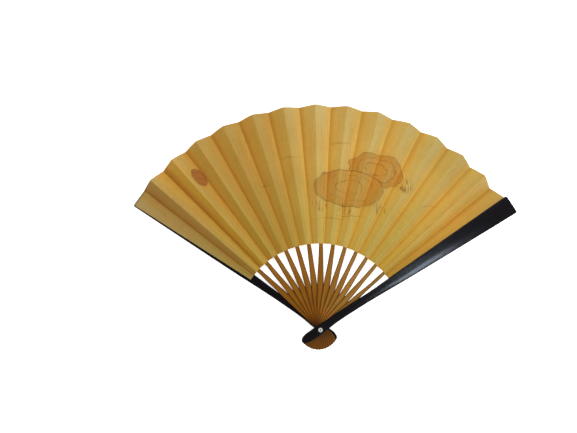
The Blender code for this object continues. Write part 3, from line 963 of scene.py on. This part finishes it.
def pearl():
    """Mother-of-pearl with soft swirls; lengths in millimetres."""
    m = Nodes("pearl")
    grain = m.attribute("grain")
    swirl = m.noise(grain, 0.9, 3.0, 0.6)
    layers = m.noise(grain, 4.5, 2.0)
    warm_white, cool_white, cream = (0.44, 0.47, 0.40), (0.37, 0.43, 0.40), (0.52, 0.50, 0.44)
    shell = m.colour(m.ramp(swirl, 0.35, 0.65), warm_white, cool_white)
    shell = m.colour(m.ramp(layers, 0.45, 0.7, 0.0, 0.5), shell, cream)
    m.put(m.shader.inputs["Base Color"], shell)
    m.put(m.shader.inputs["Roughness"], m.ramp(layers, 0.3, 0.7, 0.20, 0.34))
    m.shader.inputs["Coat Weight"].default_value = 0.4
    m.shader.inputs["Sheen Weight"].default_value = 0.1
    m.put(m.shader.inputs["Normal"], m.bump(swirl, 0.0001, 0.3))
    return m.material


def grey_horn():
    """Streaky grey horn; lengths in millimetres."""
    m = Nodes("grey_horn")
    streaks = m.noise(m.attribute("grain"), 1.6, 4.0, 0.6)
    dark_grey, light_grey = (0.13, 0.135, 0.115), (0.20, 0.20, 0.17)
    m.put(m.shader.inputs["Base Color"], m.colour(m.ramp(streaks, 0.35, 0.65), dark_grey, light_grey))
    m.put(m.shader.inputs["Roughness"], m.ramp(streaks, 0.3, 0.7, 0.28, 0.45))
    m.put(m.shader.inputs["Normal"], m.bump(streaks, 0.0001, 0.3))
    return m.material


def pale_floor():
    """A near-white floor that glows a little, so that it is as white as the photo's background."""
    m = Nodes("pale_floor")
    tone = m.noise(m.add("ShaderNodeTexCoord").outputs["Object"], 6.0, 3.0)
    white, lighter_white = (0.90, 0.90, 0.90), (0.92, 0.92, 0.92)
    m.put(m.shader.inputs["Base Color"], m.colour(m.ramp(tone, 0.3, 0.7), white, lighter_white))
    m.shader.inputs["Roughness"].default_value = 0.9
    m.shader.inputs["Emission Color"].default_value = (1, 1, 1, 1)
    m.shader.inputs["Emission Strength"].default_value = 0.68
    return m.material


# ---------------------------------------------------------------- the stage


def build_floor():
    corners = [(x * FLOOR_HALF, y * FLOOR_HALF, 0) for x, y in ((-1, -1), (1, -1), (1, 1), (-1, 1))]
    mesh = bpy.data.meshes.new("floor")
    mesh.from_pydata(corners, [], [(0, 1, 2, 3)])
    mesh.materials.append(pale_floor())
    floor = bpy.data.objects.new("floor", mesh)
    bpy.context.scene.collection.objects.link(floor)


def soft_light(name, place, aim, size, power, tint):
    """A rectangular area light in metres and watts, turned to what it is aimed at."""
    data = bpy.data.lights.new(name, "AREA")
    data.shape = "RECTANGLE"
    data.size, data.size_y = size
    data.energy = power
    data.color = tint
    light = bpy.data.objects.new(name, data)
    light.location = place
    light.visible_camera = False
    light.rotation_mode = "QUATERNION"
    light.rotation_quaternion = (Vector(aim) - Vector(place)).to_track_quat("-Z", "Y")
    bpy.context.scene.collection.objects.link(light)


def build_lights():
    soft_light("key", (0.28, 0.37, 0.34), LEAF_MIDDLE, (0.30, 0.30), 1.55, (1.0, 0.98, 0.95))
    soft_light("top", (-0.05, 0.85, 0.60), LEAF_MIDDLE, (0.6, 0.5), 3.9, WHITE)
    soft_light("left", (-0.80, -0.10, 0.60), LEAF_MIDDLE, (0.6, 0.5), 3.7, WHITE)
    soft_light("right", (0.65, -0.40, 0.60), LEAF_MIDDLE, (0.6, 0.5), 3.2, WHITE)
    soft_light("gloss", (0.268, -0.044, 0.52), GUARD_SHEEN, (0.13, 0.09), 0.98, (0.80, 0.94, 1.12))
    world = bpy.data.worlds.new("studio")
    world.use_nodes = True
    sky = world.node_tree.nodes["Background"]
    sky.inputs["Color"].default_value = (0.97, 0.98, 1.0, 1)
    sky.inputs["Strength"].default_value = 0.21
    bpy.context.scene.world = world
    bpy.context.scene.view_settings.view_transform = "Standard"


def build_camera():
    data = bpy.data.cameras.new("camera")
    data.sensor_width = 36.0
    data.lens = LENS
    data.clip_start, data.clip_end = 0.01, 20.0
    camera = bpy.data.objects.new("camera", data)
    camera.location = CAMERA_PLACE
    camera.rotation_euler = [math.radians(turn) for turn in CAMERA_TURN]
    bpy.context.scene.collection.objects.link(camera)
    bpy.context.scene.camera = camera


def main():
    angles = stick_angles()
    build_leaf(angles, gold_paper())
    bamboo, lacquer = stained_bamboo(), black_lacquer()
    for k in range(1, RIB_COUNT + 1):
        build_rib(k, angles[k], bamboo)
    build_guard("lacquer_guard_rear", "guard_rear", "rear_guard", angles[0], GUARD_BOTTOM, -1, False, lacquer)
    build_guard(
        "lacquer_guard_front", "guard_front", "front_guard", angles[-1], FRONT_GUARD_BOTTOM, 1, True, lacquer
    )
    build_pin(grey_horn(), pearl())
    build_floor()
    build_lights()
    build_camera()


main()
